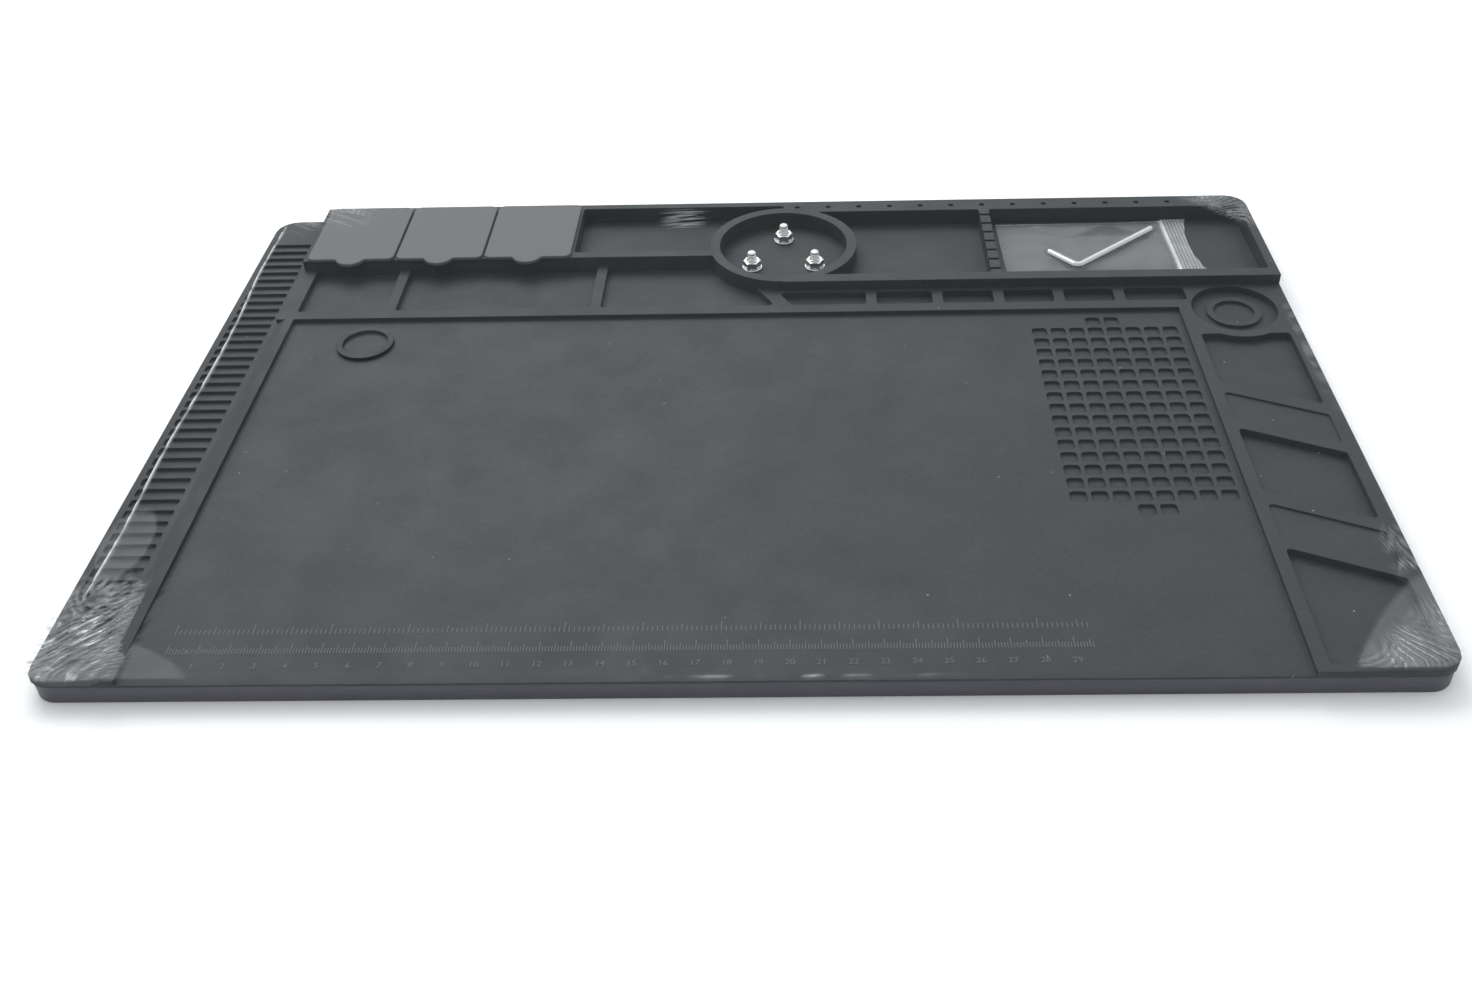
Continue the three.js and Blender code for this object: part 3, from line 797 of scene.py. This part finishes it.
class REPAIRMAT_OT_bag(bpy.types.Operator):
    """Make the zip bag: two thin creased films joined at three sides, with a ribbed zip at the open end"""

    bl_idname = "repairmat.bag"
    bl_label = "Zip bag"

    columns = 220
    rows = 120
    zip_start = 75.5 * MM
    rib_pitch = 1.5 * MM
    zip_blend = 1 * MM

    # Plan: how far the open end bows in, and the wave of the long sides
    bow = 3.2 * MM
    side_wave = 0.25 * MM

    # Heights over the bag's plane
    lower_gap, lower_crease = 0.12 * MM, 0.06 * MM
    upper_gap, least_pillow = 0.22 * MM, 0.2 * MM
    pillow, crease_height, ripple_height = 0.9 * MM, 0.45 * MM, 0.08 * MM
    zip_height, rib_height = 0.35 * MM, 0.45 * MM
    key_gap, key_spread = 0.25 * MM, 2.6 * MM
    seam_start, seam_end = 0.8 * MM, 5 * MM

    # Where the film clings and looks clear, in the bag's own plane
    clear_corners = np.array([[29, 31], [52, 43], [64, 33]]) * MM

    def clear_patch(self, x, y):
        """1 inside the triangle behind the key where the film clings and looks clear, 0 outside it."""
        inside = np.full(x.shape, 1.0)
        for i, corner in enumerate(self.clear_corners):
            side = self.clear_corners[i - 1] - corner
            side /= np.linalg.norm(side)
            inside = np.minimum(inside, (y - corner[1]) * side[0] - (x - corner[0]) * side[1])
        return smooth_step(inside, -1 * MM, 2 * MM)

    def sheet(self, upper):
        """Height over the bag's plane: a low pillow, raised over the key, with creases and the zip's ribs."""
        u, v = np.meshgrid(np.linspace(0, 1, self.columns), np.linspace(0, 1, self.rows), indexing="ij")
        x = BAG_WIDTH * u - self.bow * np.sin(math.pi * v) * smooth_step(u, 0.6, 1)
        y = BAG_DEPTH * v + self.side_wave * np.sin(7 * u + 1)
        inside = np.minimum(np.minimum(u * BAG_WIDTH, v * BAG_DEPTH), (1 - v) * BAG_DEPTH)
        seam = smooth_step(inside, self.seam_start, self.seam_end)
        crease = waves(x, y, 4 if upper else 9, 9, 9 * MM, 34 * MM)
        zip_part = smooth_step(x, self.zip_start - self.zip_blend, self.zip_start + self.zip_blend)
        if not upper:
            return x, y, self.lower_gap + self.lower_crease * crease * seam * (1 - zip_part), zip_part
        ripple = waves(x, y, 12, 7, 3 * MM, 7 * MM)
        key = np.exp(-(key_distance(x, y) / self.key_spread) ** 2)
        pillow = self.pillow + self.crease_height * crease + self.ripple_height * ripple
        z = self.upper_gap + seam * (1 - zip_part) * np.maximum(pillow, self.least_pillow)
        z = np.maximum(z, key * (KEY_HEIGHT + KEY_RADIUS + self.key_gap))
        rib = np.abs(np.sin(math.pi * (x - self.zip_start) / self.rib_pitch))
        return x, y, z + zip_part * (self.zip_height + self.rib_height * rib), zip_part

    def veil(self, x, y, zip_part):
        """How milky the film is: more on the zip, its ribs, the line before it and the long sides, and less
        where it clings and over the key."""
        stripe = np.abs(np.sin(math.pi * (x - self.zip_start) / self.rib_pitch)) ** 2
        line = np.exp(-((x - self.zip_start) / (0.9 * MM)) ** 2)
        edge = 1 - smooth_step(np.minimum(y, BAG_DEPTH - y), 0, 1.2 * MM)
        over_key = np.exp(-(key_distance(x, y) / (2.2 * MM)) ** 4)
        clear = self.clear_patch(x, y)
        veil = 0.1 + zip_part * (0.08 + 0.3 * stripe) + 0.95 * line + 0.3 * edge - 0.1 * clear
        return np.clip(veil * (1 - 0.9 * over_key), 0, 1)

    def execute(self, context):
        settings = context.scene.repairmat_film
        material = clear_film_material("clear_bag_film", tuple(settings.bag_colour), thin=0.06, thick=0.95)
        points, veils = [], []
        for upper, share in ((False, 0.3), (True, 1)):
            x, y, z, zip_part = self.sheet(upper)
            points.append(bag_place(x, y, z).reshape(-1, 3))
            veils.append(self.veil(x, y, zip_part) * share)
        faces = grid_faces(self.columns, self.rows)
        faces = np.concatenate([faces, (faces + len(points[0]))[:, ::-1]])
        bag = new_object("zip_bag_film", np.concatenate(points), faces, material)
        store(bag, "veil", np.concatenate([veils[0].ravel(), veils[1].ravel()]))
        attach(bag, "root")
        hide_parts("zip_bag")
        return {"FINISHED"}


class REPAIRMAT_OT_wrap(bpy.types.Operator):
    """Stretch the clear wrapping film over the mat, with its shrink wrinkles at the corners and edges"""

    bl_idname = "repairmat.wrap"
    bl_label = "Wrapping film"

    cell = 2.0 * MM
    margin = 8 * MM
    rounds = 400
    side_gap = 1.4 * MM
    crowding = 0.68
    shoulder = 1.6 * MM
    corner_steps = 26
    side_steps = (180, 125)
    suction = 0.012 * MM
    foot = 0.6 * MM

    # Edges of what stands higher than the work area: the comb's wall, the right column, the second row, the
    # tall block behind with its boxes, and the well
    comb_wall = -201 * MM
    column = 179 * MM
    second_row = 55 * MM
    tall_front = MAT_HIGH.y - 72 * MM
    boxes_left, boxes_front = -200 * MM, 102 * MM
    well_x, well_y, well_radius = 13 * MM, 111.3 * MM, 32.7 * MM

    # The pressed ridge along the comb
    ridge_x = -218 * MM
    ridge_height = 0.9 * MM
    ridge_width = 0.4 * MM
    ridge_wander, ridge_wave = 0.5 * MM, 17 * MM
    wrinkle_height = 0.35 * MM

    def obstacles(self, x, y):
        """What the film lies on: the work area, the low walls round it, the tall block and the lids."""
        lid_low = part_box(LID_NODES[0])[0]
        lid_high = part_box(LID_NODES[-1])[1]
        height = np.full(x.shape, WORK_TOP)
        height[(x < self.comb_wall) | (x > self.column) | (y > self.second_row)] = LOW_TOP
        tall = (x > self.well_x) & (y > self.tall_front)
        tall |= (x > self.boxes_left) & (y > self.boxes_front)
        tall |= np.hypot(x - self.well_x, y - self.well_y) < self.well_radius
        height[tall] = TALL_TOP
        lids = (x > lid_low.x) & (x < lid_high.x) & (y > lid_low.y) & (y < lid_high.y)
        height[lids] = lid_high.z
        return height

    def membrane(self):
        """A stretched sheet on a square net: each knot takes the mean of its neighbours, less a little
        suction, and never goes under what lies beneath it. That is widened by one knot to clear its edges."""
        x = np.arange(MAT_LOW.x - self.margin, MAT_HIGH.x + self.margin + self.cell, self.cell)
        y = np.arange(MAT_LOW.y - self.margin, MAT_HIGH.y + self.margin + self.cell, self.cell)
        gx, gy = np.meshgrid(x, y, indexing="ij")
        wide = self.obstacles(gx, gy)
        for axis in (0, 1):
            wide = np.maximum(wide, np.maximum(np.roll(wide, 1, axis), np.roll(wide, -1, axis)))
        sheet = wide.copy()
        for _ in range(self.rounds):
            padded = np.pad(sheet, 1, mode="edge")
            mean = (padded[2:, 1:-1] + padded[:-2, 1:-1] + padded[1:-1, 2:] + padded[1:-1, :-2]) / 4
            sheet = np.maximum(wide, mean - self.suction)
        return x, y, sheet

    def sampled(self, net, px, py):
        """Height of the net at any place, weighted between its four nearest knots."""
        x, y, sheet = net
        i = np.clip((px - x[0]) / self.cell, 0, len(x) - 1.001)
        j = np.clip((py - y[0]) / self.cell, 0, len(y) - 1.001)
        i0, j0 = i.astype(int), j.astype(int)
        fi, fj = i - i0, j - j0
        low = sheet[i0, j0] * (1 - fi) + sheet[i0 + 1, j0] * fi
        high = sheet[i0, j0 + 1] * (1 - fi) + sheet[i0 + 1, j0 + 1] * fi
        return low * (1 - fj) + high * fj

    def ring(self, out):
        """A rounded rectangle at a distance outside the mat's edge, or inside it where out is negative."""
        low_x, low_y = MAT_LOW.x - out, MAT_LOW.y - out
        high_x, high_y = MAT_HIGH.x + out, MAT_HIGH.y + out
        radius = MAT_CORNER + max(out, 0)
        outline = outline_points([(low_x, low_y), (high_x, low_y), (high_x, high_y), (low_x, high_y)],
                                 [radius] * 4, self.corner_steps)
        closed = np.concatenate([outline, outline[:1]])
        along = np.concatenate([[0], np.cumsum(np.linalg.norm(np.diff(closed, axis=0), axis=1))])
        share = self.dense_steps(along)
        return np.stack([np.interp(share, along, closed[:, 0]), np.interp(share, along, closed[:, 1])], 1)

    def dense_steps(self, along):
        """Places along a ring: as many on each side and corner whatever the ring, so that rings line up.
        On a side they crowd towards its ends: the share is t less a sine of t."""
        knots = []
        for k in range(4):
            arc = along[k * self.corner_steps:(k + 1) * self.corner_steps]
            following = along[(k + 1) * self.corner_steps] if k < 3 else along[-1]
            side = self.side_steps[k % 2]
            t = np.arange(side) / side
            crowded = t - self.crowding * np.sin(2 * math.pi * t) / (2 * math.pi)
            knots += [arc[:-1], arc[-1] + (following - arc[-1]) * crowded]
        return np.concatenate(knots)

    def fan(self, x, y, corner, reach, lines, seed):
        """Wrinkles that run out from a corner's middle like bent spokes: the wave and its strength."""
        dx, dy = x - corner[0], y - corner[1]
        distance = np.hypot(dx, dy)
        bend = waves(x, y, seed, 5, 20 * MM, 50 * MM)
        spokes = np.sin(lines * np.arctan2(dy, dx) + 1.5 * bend)
        return spokes, np.exp(-(distance / reach) ** 4) * smooth_step(distance, 6 * MM, 14 * MM)

    def streaks(self, x, y, place, size, angle, length, seed):
        """Long wrinkles of one direction, a warped sine across them, in a soft oval: wave and strength."""
        dx, dy = x - place[0], y - place[1]
        warp = 0.8 * MM * waves(x, y, seed, 6, 18 * MM, 50 * MM)
        across = -dx * math.sin(angle) + dy * math.cos(angle) + warp
        along = dx * math.cos(angle) + dy * math.sin(angle)
        breaks = smooth_step(waves(along, across * 6, seed + 40, 8, 12 * MM, 40 * MM), -1.1, 0.3)
        oval = np.exp(-(dx / size[0]) ** 4 - (dy / size[1]) ** 4)
        return np.sin(2 * math.pi * across / length), oval * breaks

    def wrinkles(self, x, y):
        """Height of all the wrinkled zones together, and the masks of their crests, which get a painted
        highlight, and of their troughs, which get painted shade. Each zone has a strength, a limit that cuts
        it off towards the work area, and its wrinkles."""
        left, right, front, back = MAT_LOW.x, MAT_HIGH.x, MAT_LOW.y, MAT_HIGH.y
        right_front = smooth_step(x - y, right - front - 40 * MM, right - front - 26 * MM)
        right_back = smooth_step(x + y, right + back - 36 * MM, right + back - 22 * MM)
        streaks, fan = self.streaks, self.fan
        zones = [
            (1.0, 1, streaks(x, y, (left + 10 * MM, front + 17 * MM), (15 * MM, 19 * MM), 0.82, 3.6 * MM, 3)),
            (0.8, 1, streaks(x, y, (left + 14 * MM, front + 20 * MM), (15 * MM, 25 * MM), 0.98, 1.9 * MM, 5)),
            (0.6, 1, streaks(x, y, (left + 16 * MM, front + 41 * MM), (9 * MM, 6 * MM), 0.8, 1.6 * MM, 14)),
            (0.8, right_front, fan(x, y, (right - 26 * MM, front + 27 * MM), 34 * MM, 56, 7)),
            (0.9, right_back, fan(x, y, (right - 28 * MM, back - 20 * MM), 34 * MM, 60, 8)),
            (0.7, 1, streaks(x, y, (left + 28 * MM, back - 8 * MM), (16 * MM, 12 * MM), -0.6, 2.6 * MM, 9)),
            (0.7, 1, streaks(x, y, (right - 1 * MM, 26 * MM), (2.2 * MM, 34 * MM), 1.35, 3.2 * MM, 10)),
            (0.9, 1, streaks(x, y, (-33 * MM, 135 * MM), (8 * MM, 8 * MM), 0.12, 3.6 * MM, 11)),
            (0.7, 1, streaks(x, y, (right - 3 * MM, front + 54 * MM), (5 * MM, 12 * MM), 1.2, 2.4 * MM, 12))]
        height, crest, trough = np.zeros_like(x), np.zeros_like(x), np.zeros_like(x)
        for strength, limit, (wave, zone) in zones:
            share = strength * zone * limit
            height += wave * share
            # Masks for the painted highlight on the crests and the painted shade in the troughs
            crest = np.maximum(crest, share * smooth_step(wave, 0.45, 1.0))
            trough = np.maximum(trough, share * smooth_step(-wave, 0.35, 1.0))
        return height, crest, trough

    def crease(self, x, y):
        """The pressed ridge that runs along the comb, broken into dashes."""
        wander = self.ridge_wander * np.sin(y / self.ridge_wave)
        line = np.exp(-((x - self.ridge_x - wander) / self.ridge_width) ** 2)
        ends = smooth_step(y, -118 * MM, -100 * MM) * (1 - smooth_step(y, 130 * MM, 138 * MM))
        dashes = smooth_step(waves(x * 0, y, 21, 6, 3 * MM, 11 * MM), -0.9, 0.2)
        return line * ends * (0.35 + 0.65 * dashes)

    def hazes(self, x, y):
        """The painted reflections: pale patches where the film stands off the mat and catches the light. Two
        corners, where the distances from both sides, each over its reach and to a power, add up to less than
        1, and one over the comb."""
        right = (np.maximum((MAT_HIGH.x - x) / (35 * MM), 0) ** 1.2
                 + np.maximum((y - MAT_LOW.y) / (45 * MM), 0) ** 1.2)
        left = (np.maximum((x - MAT_LOW.x) / (54 * MM), 0) ** 1.5
                + np.maximum((y - MAT_LOW.y) / (26 * MM), 0) ** 1.5)
        comb = ((x + 214 * MM) / (9 * MM)) ** 2 + ((y + 84 * MM) / (19 * MM)) ** 2
        patch_sheen = 0.075 * (1 - smooth_step(right, 0.94, 1.0)) + 0.055 * (1 - smooth_step(left, 0.94, 1.0))
        return patch_sheen + 0.06 * (1 - smooth_step(comb, 0.85, 1.0))

    def veil(self, x, y, crest, trough, out):
        """How milky the film is: faint over the mat, painted reflections in patches, painted highlights on
        crests and along the mat's edge, painted glints at the front and on the pressed ridge, and painted
        shade in troughs.
        """
        on_top = 1 - smooth_step(out, -0.6 * MM, 0.6 * MM)
        fine = waves(x, y, 31, 9, 1.6 * MM, 5 * MM)
        patches = smooth_step(waves(x, y, 37, 8, 9 * MM, 30 * MM), -1.0, 0.9)
        # Painted highlight on the wrinkles' crests
        painted_crest_highlight = crest * (0.12 + 0.5 * patches) * (0.8 + 0.2 * fine)
        # Painted highlight where the film bends over the mat's edge, except at the front
        edge = 0.22 * np.exp(-((out - 0.4 * MM) / (0.6 * MM)) ** 2) * smooth_step(fine, -0.6, 1.2)
        front = y < MAT_LOW.y + 3 * MM
        # Painted glints along the front edge
        glint = 0.9 * front * np.exp(-((out - 0.6 * MM) / (0.4 * MM)) ** 2)
        glint = glint * np.exp(-((x - 20 * MM) / (28 * MM)) ** 2)
        glint *= smooth_step(waves(x, x * 0, 33, 7, 4 * MM, 20 * MM), -0.4, 0.8)
        # Painted glint along the pressed ridge
        ridge = 0.8 * self.crease(x, y)
        # Painted shade in the troughs: the film is thickened there and its colour turns nearly black
        top = (self.hazes(x, y) + painted_crest_highlight + 0.55 * trough) * on_top
        return np.clip(0.012 + top + edge * (~front) + glint + ridge, 0, 1)

    def execute(self, context):
        settings = context.scene.repairmat_film
        net = self.membrane()
        inset = (MAT_HIGH.y - MAT_LOW.y) / 2 - MAT_CORNER - 1 * MM
        skirt = np.linspace(0.08, 0.92, 7)
        shoulder = self.side_gap - self.shoulder * (1 - np.cos(np.linspace(0, math.pi / 2, 7)))
        # Rings inwards from the edge, close together where the pressed ridge runs
        steps_mm = [np.arange(0.8, 6, 0.8), np.arange(6, 8, 0.3), np.arange(8.4, 42, 0.8),
                    np.arange(43, inset / MM, 2.6)]
        top = self.side_gap - self.shoulder - np.concatenate(steps_mm) * MM
        outs = np.concatenate([[self.side_gap] * len(skirt), shoulder, top])
        flat = np.array([self.ring(out) for out in outs.tolist()])
        x, y = flat[..., 0], flat[..., 1]
        out = np.broadcast_to(outs[:, None], x.shape)
        x_in = np.clip(x, MAT_LOW.x + 3 * MM, MAT_HIGH.x - 3 * MM)
        y_in = np.clip(y, MAT_LOW.y + 3 * MM, MAT_HIGH.y - 3 * MM)
        height = self.sampled(net, x_in, y_in) + settings.clearance
        fall = np.clip((out - (self.side_gap - self.shoulder)) / self.shoulder, 0, 1)
        height -= self.shoulder * (1 - np.sqrt(np.clip(1 - fall ** 2, 0, 1)))
        share = np.ones(len(outs))
        share[:len(skirt)] = skirt
        z = self.foot + (height - self.foot) * share[:, None]
        wrinkle, crest, trough = self.wrinkles(x_in, y_in)
        on_top = 1 - smooth_step(out, -3 * MM, 0.8 * MM)
        lift = (np.abs(wrinkle) + wrinkle) * self.wrinkle_height * on_top
        z = z + lift + self.ridge_height * self.crease(x, y)
        points = np.concatenate([flat, z[..., None]], -1)
        rows, columns = points.shape[:2]
        faces = grid_faces(rows, columns, wrap_columns=True).tolist()
        faces.append(list(range((rows - 1) * columns, rows * columns)))
        material = clear_film_material("wrapping_film", tuple(settings.wrap_colour), thin=0.0, thick=1.0)
        film = new_object("wrapping_film", points, faces, material)
        # The film's milkiness carries painted highlights, painted glints and painted reflections, and its
        # troughs get painted shade
        store(film, "veil", self.veil(x, y, crest, trough, out))
        store(film, "painted_trough_shade", trough * (crest < trough))
        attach(film, "root")
        return {"FINISHED"}


class REPAIRMAT_OT_stage(bpy.types.Operator):
    """Set the pale floor, the soft lights and the camera at the photograph's angle"""

    bl_idname = "repairmat.stage"
    bl_label = "Floor, lights and camera"

    focal_pixels = 1460.15
    image_width = 1472
    image_height = 1004
    centre_pixel = (776.68, 489.51)
    camera_place = Vector((24.41, -464.75, 338.24)) * MM
    camera_angles = (51.094, 2.162, -1.016)
    sensor = 36.0
    bright_side = (0.0, 0.5, 0.866)
    dim_from = -0.3
    dim_share = 0.3
    sky_colour = (0.965, 0.985, 1.0, 1)
    floor_half = 6.0
    key_place = (-0.35, 0.75, 1.0)
    key_size = (1.0, 0.7)

    def add_camera(self, context):
        data = bpy.data.cameras.new("camera")
        data.sensor_width = self.sensor
        data.lens = self.focal_pixels / self.image_width * self.sensor
        data.shift_x = (self.image_width / 2 - self.centre_pixel[0]) / self.image_width
        data.shift_y = (self.centre_pixel[1] - self.image_height / 2) / self.image_width
        data.clip_start = 0.01
        camera = bpy.data.objects.new("camera", data)
        rx, ry, rz = (math.radians(angle) for angle in self.camera_angles)
        turn = Matrix.Rotation(rz, 4, "Z") @ Matrix.Rotation(rx, 4, "X") @ Matrix.Rotation(ry, 4, "Y")
        camera.matrix_world = Matrix.Translation(self.camera_place) @ turn
        context.scene.collection.objects.link(camera)
        context.scene.camera = camera

    def add_light(self, context, name, place, target, size, power):
        data = bpy.data.lights.new(name, "AREA")
        data.shape = "RECTANGLE"
        data.size, data.size_y = size
        data.energy = power
        light = bpy.data.objects.new(name, data)
        light.location = place
        light.rotation_euler = (Vector(target) - Vector(place)).to_track_quat("-Z", "Y").to_euler()
        context.scene.collection.objects.link(light)

    def light_world(self, tree, sky):
        """White surroundings, brightest above and behind the mat and dim towards the camera."""
        background = tree.nodes["Background"]
        background.inputs["Color"].default_value = self.sky_colour
        direction = tree.nodes.new("ShaderNodeTexCoord").outputs["Generated"]
        along = tree.nodes.new("ShaderNodeVectorMath")
        along.operation = "DOT_PRODUCT"
        along.inputs[1].default_value = self.bright_side
        shade = tree.nodes.new("ShaderNodeMapRange")
        shade.inputs["From Min"].default_value = self.dim_from
        shade.inputs["To Min"].default_value = sky * self.dim_share
        shade.inputs["To Max"].default_value = sky
        tree.links.new(direction, along.inputs[0])
        tree.links.new(along.outputs["Value"], shade.inputs["Value"])
        tree.links.new(shade.outputs["Result"], background.inputs["Strength"])

    def execute(self, context):
        settings = context.scene.repairmat_stage
        half = self.floor_half
        floor = new_object("floor", [(-half, -half, 0), (half, -half, 0), (half, half, 0), (-half, half, 0)],
                           [[0, 1, 2, 3]], floor_material(tuple(settings.floor_colour)))
        world = bpy.data.worlds.new("studio")
        world.use_nodes = True
        self.light_world(world.node_tree, settings.sky)
        context.scene.world = world
        context.scene.view_settings.view_transform = "Standard"
        self.add_light(context, "key_light", self.key_place, (0, 0, 0), self.key_size, settings.key_power)
        self.add_camera(context)
        return {"FINISHED"}


OPERATORS = [REPAIRMAT_OT_mat, REPAIRMAT_OT_ruler, REPAIRMAT_OT_plate, REPAIRMAT_OT_lids,
             REPAIRMAT_OT_hardware, REPAIRMAT_OT_key, REPAIRMAT_OT_bag, REPAIRMAT_OT_wrap, REPAIRMAT_OT_stage]

SETTINGS = {"repairmat_mat": MatSettings, "repairmat_plate": PlateSettings,
            "repairmat_ruler": RulerSettings, "repairmat_hardware": HardwareSettings,
            "repairmat_film": FilmSettings, "repairmat_stage": StageSettings}


class REPAIRMAT_PT_panel(bpy.types.Panel):
    """The mat's pieces and settings"""

    bl_idname = "REPAIRMAT_PT_panel"
    bl_label = "Repair mat"
    bl_space_type = "VIEW_3D"
    bl_region_type = "UI"
    bl_category = "Repair mat"

    def draw(self, context):
        for name, group in SETTINGS.items():
            box = self.layout.box()
            settings = getattr(context.scene, name)
            for key in group.__annotations__:
                box.prop(settings, key)
        for operator in OPERATORS:
            self.layout.operator(operator.bl_idname)


def register():
    for item in [*SETTINGS.values(), *OPERATORS, REPAIRMAT_PT_panel]:
        bpy.utils.register_class(item)
    for name, group in SETTINGS.items():
        setattr(bpy.types.Scene, name, bpy.props.PointerProperty(type=group))


def unregister():
    for name in SETTINGS:
        delattr(bpy.types.Scene, name)
    for item in reversed([*SETTINGS.values(), *OPERATORS, REPAIRMAT_PT_panel]):
        bpy.utils.unregister_class(item)


def main():
    register()
    for operator in OPERATORS:
        module, name = operator.bl_idname.split(".")
        result = getattr(getattr(bpy.ops, module), name)()
        if result != {"FINISHED"}:
            raise RuntimeError(f"{operator.bl_idname} did not finish")


if __name__ == "__main__":
    main()
